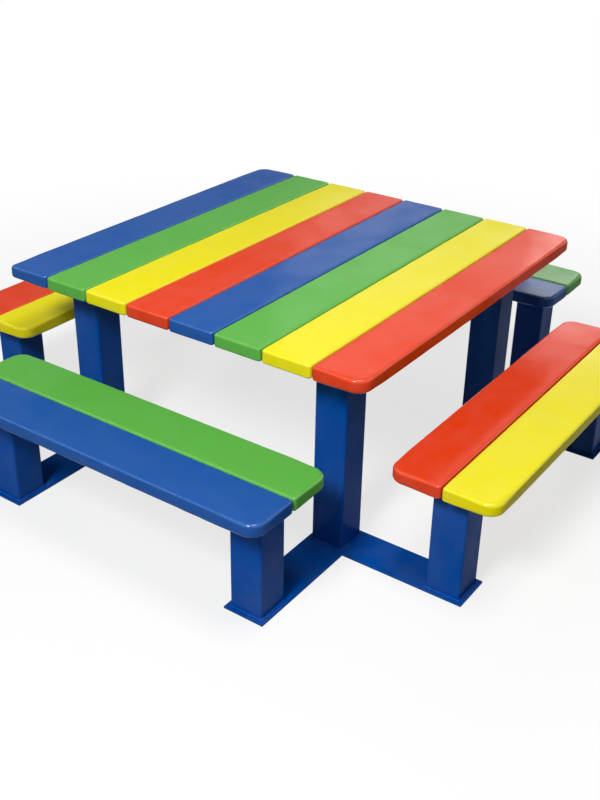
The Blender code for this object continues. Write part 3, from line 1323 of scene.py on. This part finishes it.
@dataclass(frozen=True)
class HexFixing:
    """A hexagon-head screw or bolt, modelled upwards from its head, which bears at height zero."""

    across_flats: float
    head_height: float
    shank_diameter: float
    shank_length: float
    point_length: float
    point_share: float
    flange_diameter: float = 0.0
    flange_height: float = 0.0
    chamfer: float = 0.0006
    sides: int = 12

    def model(self, name: str) -> Piece:
        """Models the fixing from the end of its head to its point.

        Args:
            name: the pattern's name.

        Returns:
            The fixing, as one closed mesh.
        """
        corner = self.across_flats / 2 / HEX_SHRINK
        lowest = -self.head_height + self.chamfer / 2
        fixing = Workshop.disc(name, self.sides, corner, lowest)
        with Shaper(fixing) as shape:
            self._redraw(shape, corner, to_circle=False)
            shape.pick_all()
            shape.extrude((0, 0, -lowest - self.flange_height))
            if self.flange_diameter:
                self._step(shape, corner, self.flange_diameter / 2)
                shape.extrude((0, 0, self.flange_height))
                shape.extrude()
                shape.scale(self.shank_diameter / self.flange_diameter)
            else:
                self._step(shape, corner, self.shank_diameter / 2)
            shape.extrude((0, 0, self.shank_length - self.point_length))
            shape.extrude((0, 0, self.point_length))
            shape.scale(self.point_share)
            shape.pick_faces(lambda middle, normal: abs(middle.z - lowest) < TOUCH)
            shape.inset(self.chamfer)
            shape.move((0, 0, -self.chamfer / 2))
            shape.face_out()
        Workshop.smooth(fixing)
        return fixing

    def _redraw(self, shape: Shaper, radius: float, to_circle: bool) -> None:
        """Draws an outline's points between the corners in to a hexagon or out to a circle.

        Args:
            shape: the piece's tools.
            radius: the distance of the outline's corners from the middle.
            to_circle: whether the outline is a hexagon that becomes a circle.
        """
        for off in range(0, HEX_STEP // 2, 2 * HALF_TURN // self.sides):
            shrink = HEX_SHRINK / math.cos(math.radians(off))
            distance = radius * shrink if to_circle else radius
            shape.pick_points(
                lambda place: abs(off_flat(place) - off) < HEX_SLACK
                and abs(place.xy.length - distance) < TOUCH
            )
            shape.scale(1 / shrink if to_circle else shrink)

    def _step(self, shape: Shaper, corner: float, radius: float) -> None:
        """Steps from the picked hexagon to a circle at the same height and picks the circle.

        Args:
            shape: the piece's tools, with the hexagon picked.
            corner: the hexagon's corner radius.
            radius: the circle's radius.
        """
        shape.extrude()
        shape.scale(radius / corner)
        self._redraw(shape, radius, to_circle=True)
        top = Vector((0, 0, -self.flange_height))
        shape.pick_faces(lambda middle, normal: (middle - top).length < TOUCH)


@dataclass(frozen=True)
class FixingRing:
    """A washer or a nut, modelled on height zero."""

    diameter: float
    bore: float
    height: float
    sides: int
    hexagon: bool = False
    edge: float = 0.0004
    edge_steps: int = 2

    def model(self, name: str) -> Piece:
        """Models the ring with broken edges.

        Args:
            name: the pattern's name.

        Returns:
            The ring.
        """
        radius = self.diameter / 2
        ring = Workshop.disc(name, self.sides, radius, 0)
        with Shaper(ring) as shape:
            shape.pick_all()
            shape.inset((radius - self.bore / 2) * math.cos(math.pi / self.sides))
            shape.drop_faces(edges_too=True)
            if self.hexagon:
                shape.pick_points(
                    lambda place: place.length > NEAR_EDGE * radius and off_flat(place) < HEX_SLACK
                )
                shape.scale(HEX_SHRINK)
            shape.face_down()
        Workshop.modify(ring, "SOLIDIFY", thickness=self.height, offset=-1)
        Workshop.break_edges(ring, self.edge, self.edge_steps)
        Workshop.smooth(ring)
        return ring


# A fillet from a leg's wall down to its base plate, and a low bead over the seam at its top.
FOOT_WELD = WeldBead(
    "foot_weld",
    (
        (0.0, 0.0036),
        (0.0014, 0.0032),
        (0.0026, 0.0023),
        (0.0033, 0.0011),
        (0.0034, -0.0004),
        (0.0, -0.0004),
    ),
)
SEAM_WELD = WeldBead(
    "seam_weld",
    ((0.0, -0.0030), (0.0014, -0.0022), (0.0020, -0.0004), (0.0014, 0.0014), (0.0, 0.0022)),
)

# The screw that holds a slat from below, and what holds a rail on a table leg.
WOOD_SCREW = HexFixing(
    across_flats=0.010,
    head_height=0.004,
    shank_diameter=0.006,
    shank_length=0.0243,
    point_length=0.005,
    point_share=0.25,
    flange_diameter=0.013,
    flange_height=0.0009,
)
RAIL_BOLT = HexFixing(
    across_flats=0.016,
    head_height=0.0064,
    shank_diameter=0.010,
    shank_length=0.0242,
    point_length=0.001,
    point_share=0.85,
    sides=24,
)
RAIL_WASHER = FixingRing(diameter=0.020, bore=0.011, height=0.002, sides=24)
WELD_NUT = FixingRing(
    diameter=0.016 / HEX_SHRINK, bore=0.0106, height=0.008, sides=12, hexagon=True
)


@dataclass
class TableTop:
    """The eight slats of the table."""

    wardrobe: Wardrobe
    length: float = 1.0
    height: float = 0.5
    paints: tuple[Paint, ...] = tuple(Paint) * 2
    eased_corner: float = 0.012
    grain_start: Triple = (0.0, 0.0, 0.05)
    grain_stride: Triple = (1.7, 0.31, 0.013)

    def build(self) -> None:
        """Models the first, an inner and the last slat, and lays all eight.

        The top's front left corner is only eased, and its other corners are large.
        """
        slat = Slat(self.length, outer_corners={})
        inner = slat.model("inner_slat")
        corners = {-1: LARGE_CORNER, 1: self.eased_corner}
        first = Slat(self.length, outer_corners=corners).model("first_slat")
        corners = {-1: LARGE_CORNER, 1: LARGE_CORNER}
        last = Slat(self.length, outer_corners=corners).model("last_slat")
        count = len(self.paints)
        patterns = [first] + [inner] * (count - 2) + [last]
        for index, (paint, pattern) in enumerate(zip(self.paints, patterns)):
            spot = Vector(((index - (count - 1) / 2) * SLAT_PITCH, 0, self.height))
            turn = QUARTER_TURN + (HALF_TURN if pattern is first else 0)
            node = f"table_slat_{index + 1}_{paint.value}"
            coat = self.wardrobe.boards[paint]
            board = Workshop.copy_of(pattern, f"{node}_{coat.ending}", spot, turn)
            slat.dress(board, Vector(self.grain_start) + index * Vector(self.grain_stride))
            Workshop.hand_in(board, coat, node)
        Workshop.discard(first, inner, last)


@dataclass
class Benches:
    """The four benches, with their slats, legs, top plates, welds and screws."""

    wardrobe: Wardrobe
    length: float = 0.9
    height: float = 0.3
    distance: float = 0.655
    leg_foot: float = base_of("bench_front_leg_left")
    leg_length: float = height_of("bench_front_leg_left")
    foot_weld_height: float = height_of("base_plate_front_left")
    plate_size: Triple = (0.080, 0.185, 0.005)
    plate_base: float = base_of("bench_front_slat_inner_green") - FIT_GAP - plate_size[2]
    screw_spacing: float = 0.05
    screw_turn: float = 17.0
    grain_start: Triple = (20.0, 0.0, 0.06)
    grain_stride: Triple = (1.9, 0.0, 0.017)
    grain_row: Triple = (0.0, 0.4, 0.0)

    def build(self) -> None:
        """Models each kind of piece once and builds the four benches from copies."""
        slat = Slat(self.length, outer_corners={-1: LARGE_CORNER, 1: LARGE_CORNER})
        board = slat.model("bench_slat")
        leg = SquareTube(self.leg_length).model("bench_leg")
        plate = SteelPlate(self.plate_size).model("bench_top_plate")
        foot = FOOT_WELD.model()
        seam = SEAM_WELD.model()
        screw = WOOD_SCREW.model("bench_screw")
        for number, seat in enumerate(Seat):
            shift = Vector(self.grain_start) + number * Vector(self.grain_stride)
            self._slats(seat, slat, board, shift)
            for side, end in zip((-1, 1), seat.leg_names):
                along = side * LEG_OFFSET
                self._leg(seat, end, along, leg, plate)
                self._welds(seat, end, along, foot, seam)
                self._screws(seat, end, along, screw)
        Workshop.discard(board, leg, plate, foot, seam, screw)

    def _slats(self, seat: Seat, slat: Slat, pattern: Piece, shift: Vector) -> None:
        """Lays the two slats of a bench.

        Args:
            seat: the bench.
            slat: the slats' sizes and sanding.
            pattern: the slat that was modelled once.
            shift: how far into the grain the outer slat was cut.
        """
        for row, (place, paint) in enumerate(seat.paints.items()):
            side = 1 if place == "outer" else -1
            spot = seat.spot(0, self.distance + side * SLAT_PITCH / 2, self.height)
            turn = seat.turn + (0 if place == "outer" else HALF_TURN)
            node = f"bench_{seat.label}_slat_{place}_{paint.value}"
            coat = self.wardrobe.boards[paint]
            board = Workshop.copy_of(pattern, f"{node}_{coat.ending}", spot, turn)
            slat.dress(board, shift + row * Vector(self.grain_row))
            Workshop.hand_in(board, coat, node)

    def _leg(self, seat: Seat, end: str, along: float, leg: Piece, plate: Piece) -> None:
        """Stands one leg with its top plate.

        Args:
            seat: the bench.
            end: the leg's name on that bench.
            along: the leg's place along the bench.
            leg: the leg's pattern.
            plate: the top plate's pattern.
        """
        for pattern, kind, height in (
            (leg, "leg", self.leg_foot),
            (plate, "top_plate", self.plate_base),
        ):
            spot = seat.spot(along, self.distance, height)
            node = f"bench_{seat.label}_{kind}_{end}"
            Workshop.stand_in(pattern, node, self.wardrobe.steel, spot, seat.turn)

    def _welds(self, seat: Seat, end: str, along: float, foot: Piece, seam: Piece) -> None:
        """Lays the welds of one leg.

        Args:
            seat: the bench.
            end: the leg's name on that bench.
            along: the leg's place along the bench.
            foot: the foot weld's pattern.
            seam: the seam weld's pattern.
        """
        for bead, pattern, height in (
            (FOOT_WELD, foot, self.foot_weld_height),
            (SEAM_WELD, seam, self.plate_base),
        ):
            spot = seat.spot(along, self.distance, height)
            name = f"bench_{seat.label}_{bead.kind}_{end}"
            bead.lay(pattern, name, self.wardrobe.steel, spot, seat.turn)

    def _screws(self, seat: Seat, end: str, along: float, screw: Piece) -> None:
        """Drives the four screws of one top plate from below.

        Args:
            seat: the bench.
            end: the leg's name on that bench.
            along: the leg's place along the bench.
            screw: the screw's pattern.
        """
        sides = [(x, y) for x in (-1, 1) for y in (-1, 1)]
        for number, (side_x, side_y) in enumerate(sides, 1):
            spot = seat.spot(
                along + side_x * self.screw_spacing / 2,
                self.distance + side_y * SLAT_PITCH / 2,
                self.plate_base,
            )
            name = f"bench_{seat.label}_screw_{end}_{number}"
            copy = Workshop.copy_of(screw, name, spot, seat.turn + self.screw_turn * number)
            Workshop.hand_in(copy, self.wardrobe.zinc)


@dataclass
class CornerFrames:
    """The four base plates with the table legs that stand at their bends."""

    wardrobe: Wardrobe
    leg_foot: float = base_of("table_leg_front_left")
    leg_length: float = height_of("table_leg_front_left")
    plate_half_width: float = 0.05
    plate_reach: float = 0.345
    plate_thickness: float = height_of("base_plate_front_left")
    plate_edge: float = 0.0007
    plate_edge_steps: int = 2
    cap_size: Triple = (0.080, 0.080, 0.006)
    cap_base: float = base_of("table_leg_cap_front_left")

    def build(self) -> None:
        """Models each kind of piece once and builds the four corners from copies."""
        plate = self._base_plate("base_plate")
        leg = SquareTube(self.leg_length).model("table_leg")
        cap = SteelPlate(self.cap_size).model("table_leg_cap")
        foot = FOOT_WELD.model()
        seam = SEAM_WELD.model()
        steel = self.wardrobe.steel
        for corner in Corner:
            for pattern, height in ((plate, 0.0), (leg, self.leg_foot), (cap, self.cap_base)):
                node = f"{pattern.name}_{corner.label}"
                Workshop.stand_in(pattern, node, steel, corner.leg_spot(height), corner.turn)
            for bead, pattern, height in (
                (FOOT_WELD, foot, self.plate_thickness),
                (SEAM_WELD, seam, self.cap_base),
            ):
                name = f"table_{bead.kind}_{corner.label}"
                bead.lay(pattern, name, steel, corner.leg_spot(height), corner.turn)
        Workshop.discard(plate, leg, cap, foot, seam)

    def _base_plate(self, name: str) -> Piece:
        """Models the flat L on the ground, with its bend at the origin.

        Args:
            name: the pattern's name.

        Returns:
            The plate.
        """
        half = self.plate_half_width
        arm = self.plate_reach - half
        plate = Workshop.sheet(name, (2 * half, 2 * half), 0)
        with Shaper(plate) as shape:
            shape.pick_edges(lambda middle, way: middle.y < -NEAR_EDGE * half)
            shape.extrude((0, -arm, 0))
            shape.pick_edges(lambda middle, way: middle.x > NEAR_EDGE * half and middle.y > -half)
            shape.extrude((arm, 0, 0))
            shape.pick_all()
            shape.extrude((0, 0, self.plate_thickness))
            shape.face_out()
        Workshop.break_edges(plate, self.plate_edge, self.plate_edge_steps)
        Workshop.smooth(plate)
        return plate


@dataclass
class SlatRails:
    """The two rails under the table top, with their bolts and screws."""

    wardrobe: Wardrobe
    length: float = 0.92
    web_width: float = 0.06
    rail_height: float = 0.03
    lip_width: float = 0.022
    wall: float = 0.003
    bend_radius: float = 0.0045
    bend_steps: int = 4
    edge: float = 0.0004
    edge_steps: int = 2
    base: float = base_of("slat_rail_front")
    slat_count: int = 8
    screw_offset: float = 0.041
    screw_turn: float = 23.0
    bolt_base: float = top_of("rail_washer_front_left") + FIT_GAP
    washer_base: float = base_of("rail_washer_front_left")
    nut_base: float = base_of("rail_weld_nut_front_left")

    def build(self) -> None:
        """Models each kind of piece once and builds both rails from copies."""
        rail = self._rail("slat_rail")
        screw = WOOD_SCREW.model("rail_screw")
        for side, end in ((-1, "front"), (1, "rear")):
            spot = Vector((0, side * LEG_OFFSET, self.base))
            Workshop.stand_in(rail, f"slat_rail_{end}", self.wardrobe.steel, spot)
            self._screws(side, end, screw)
        bolt = RAIL_BOLT.model("rail_bolt")
        with Shaper(bolt) as shape:
            shape.pick_all()
            shape.turn_over()
        washer = RAIL_WASHER.model("rail_washer")
        nut = WELD_NUT.model("rail_weld_nut")
        heights = ((bolt, self.bolt_base), (washer, self.washer_base), (nut, self.nut_base))
        for corner in Corner:
            for pattern, height in heights:
                node = f"{pattern.name}_{corner.label}"
                spot = corner.leg_spot(height)
                Workshop.stand_in(pattern, node, self.wardrobe.zinc, spot, corner.turn)
        Workshop.discard(rail, screw, bolt, washer, nut)

    def _rail(self, name: str) -> Piece:
        """Models a folded hat section along X, with its web on height zero.

        Args:
            name: the pattern's name.

        Returns:
            The rail.
        """
        half = self.web_width / 2
        rail = Workshop.sheet(name, (self.length, self.web_width), 0)
        with Shaper(rail) as shape:
            for side in (-1, 1):
                shape.pick_edges(lambda middle, way: side * middle.y > NEAR_EDGE * half)
                shape.extrude((0, 0, self.rail_height - self.wall))
                shape.extrude((0, side * self.lip_width, 0))
            shape.pick_edges(self._is_bend)
            shape.bevel(self.bend_radius, self.bend_steps)
            shape.face_down()
        Workshop.modify(rail, "SOLIDIFY", thickness=self.wall, offset=-1, use_even_offset=True)
        Workshop.break_edges(rail, self.edge, self.edge_steps)
        Workshop.smooth(rail)
        return rail

    def _is_bend(self, middle: Vector, way: Vector) -> bool:
        """Whether an edge along the rail is one of its four bends."""
        return abs(way.x) > STRAIGHT and abs(abs(middle.y) - self.web_width / 2) < TOUCH

    def _screws(self, side: int, end: str, screw: Piece) -> None:
        """Drives the sixteen screws of one rail from below.

        Args:
            side: -1 for the front rail and 1 for the rear one.
            end: the rail's name.
            screw: the screw's pattern.
        """
        height = self.base + self.rail_height - self.wall
        spots = [(index, lip) for index in range(self.slat_count) for lip in (-1, 1)]
        for number, (index, lip) in enumerate(spots, 1):
            x = (index - (self.slat_count - 1) / 2) * SLAT_PITCH
            y = side * LEG_OFFSET + lip * self.screw_offset
            name = f"rail_screw_{end}_{number}"
            turn = self.screw_turn * number
            copy = Workshop.copy_of(screw, name, Vector((x, y, height)), turn)
            Workshop.hand_in(copy, self.wardrobe.zinc)


@dataclass(frozen=True)
class SoftBox:
    """A round soft lamp that looks at the middle of the table.

    Its share is what a white surface shows that faces it from the middle, and 1 is white.
    """

    name: str
    place: Triple
    diameter: float
    share: float
    target: Triple = (0.0, 0.0, 0.35)

    def hang(self) -> None:
        """Puts the lamp in the scene."""
        way = Vector(self.place) - Vector(self.target)
        lamp = bpy.data.lights.new(self.name, "AREA")
        lamp.shape = "DISK"
        lamp.size = self.diameter
        lamp.energy = self.share * math.pi**2 * way.length_squared
        light = bpy.data.objects.new(self.name, lamp)
        light.location = self.place
        light.rotation_euler = way.to_track_quat("Z", "Y").to_euler()
        light.visible_camera = False
        bpy.context.scene.collection.objects.link(light)


@dataclass
class Studio:
    """The pale floor, the soft light and the camera, whose angles are in radians."""

    floor_size: float = 80.0
    floor_drop: float = 0.0005
    floor_seen: float = 0.96
    floor_glow: Span = (0.72, 1.0)
    floor_glow_reach: Span = (0.9, 2.4)
    floor_bounce: float = 0.36
    ambient: float = 0.08
    lamps: tuple[SoftBox, ...] = (
        SoftBox("top_light", place=(1.15, -0.90, 4.00), diameter=1.4, share=0.42),
        SoftBox("front_light", place=(0.60, -3.00, 2.90), diameter=0.9, share=0.63),
        SoftBox("back_light", place=(-1.90, 5.20, 3.30), diameter=3.4, share=0.20),
        SoftBox("window_light", place=(-1.30, 5.74, 2.55), diameter=0.9, share=0.045),
    )
    camera_place: Triple = (1.4450, -2.0725, 1.4769)
    camera_azimuth: float = 0.6180
    camera_elevation: float = 0.4876
    camera_roll: float = 0.0130
    focal_pixels: float = 1087.65
    centre_pixels: Span = (290.61, 380.25)
    image: tuple[int, int] = (600, 800)
    sensor: float = 36.0

    def build(self) -> None:
        """Sets up the floor, the light and the camera."""
        bpy.context.scene.view_settings.view_transform = "Standard"
        self._floor()
        self._dome()
        for lamp in self.lamps:
            lamp.hang()
        self._camera()

    @staticmethod
    def _seen(wiring: Wiring) -> Socket:
        """Finds which rays show the background.

        Args:
            wiring: the tree to wire.

        Returns:
            A mask of camera, glossy and transmission rays.
        """
        path = wiring.add("LightPath", {}).outputs
        mirrored = wiring.maths("MAXIMUM", path["Is Glossy Ray"], path["Is Transmission Ray"])
        return wiring.maths("MAXIMUM", path["Is Camera Ray"], mirrored)

    def _floor(self) -> None:
        """Lays the floor, which is pale near the table and white far off.

        It throws less light on the table than it shows.
        """
        floor = Workshop.sheet("studio_floor", (self.floor_size, self.floor_size), -self.floor_drop)
        material = bpy.data.materials.new("studio_floor")
        material.use_nodes = True
        wiring = Wiring(material.node_tree)
        dim = wiring.add("BsdfDiffuse", {"Color": (self.floor_bounce,) * 3 + (1.0,)})
        pale = wiring.add("BsdfDiffuse", {"Color": (self.floor_seen,) * 3 + (1.0,)})
        white = wiring.add("Emission", {"Strength": 1.0})
        place = wiring.add("TexCoord", {}).outputs["Object"]
        away = wiring.add("VectorMath", {0: place}, operation="LENGTH").outputs["Value"]
        glow = wiring.remap(away, self.floor_glow_reach, self.floor_glow)
        lifted = wiring.add("MixShader", {0: glow, 1: pale.outputs[0], 2: white.outputs[0]})
        seen = self._seen(wiring)
        mixed = wiring.add("MixShader", {0: seen, 1: dim.outputs[0], 2: lifted.outputs[0]})
        wiring.feed(wiring.find("OUTPUT_MATERIAL"), {"Surface": mixed.outputs[0]})
        floor.data.materials.append(material)

    def _dome(self) -> None:
        """Wires an even dome, white where it is seen or mirrored and weak as a light."""
        world = bpy.data.worlds.new("studio_dome")
        world.use_nodes = True
        bpy.context.scene.world = world
        wiring = Wiring(world.node_tree)
        seen = self._seen(wiring)
        strength = wiring.maths("MULTIPLY_ADD", seen, 1.0 - self.ambient, self.ambient)
        wiring.feed(wiring.find("BACKGROUND"), {"Color": (1, 1, 1, 1), "Strength": strength})

    def _camera(self) -> None:
        """Sets the camera where the photograph was taken from."""
        lens = bpy.data.cameras.new("photo_camera")
        long_side = max(self.image)
        lens.sensor_width = self.sensor
        lens.lens = self.focal_pixels * self.sensor / long_side
        lens.shift_x = (self.image[0] / 2 - self.centre_pixels[0]) / long_side
        lens.shift_y = (self.centre_pixels[1] - self.image[1] / 2) / long_side
        camera = bpy.data.objects.new("photo_camera", lens)
        turn = Matrix.Rotation(self.camera_azimuth, 4, "Z")
        tilt = Matrix.Rotation(math.pi / 2 - self.camera_elevation, 4, "X")
        roll = Matrix.Rotation(self.camera_roll, 4, "Z")
        camera.matrix_world = Matrix.Translation(self.camera_place) @ turn @ tilt @ roll
        bpy.context.scene.collection.objects.link(camera)
        bpy.context.scene.camera = camera


def main() -> None:
    """Builds the studio and the table, piece by piece."""
    logging.basicConfig(level=logging.INFO, format="%(name)s %(message)s")
    log.info("%d packed nodes to dress", len(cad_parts))
    Studio().build()
    wardrobe = Wardrobe.filled()
    for kind in (TableTop, Benches, CornerFrames, SlatRails):
        kind(wardrobe).build()
        log.info("%s: built", kind.__name__)


if __name__ == "__main__":
    main()
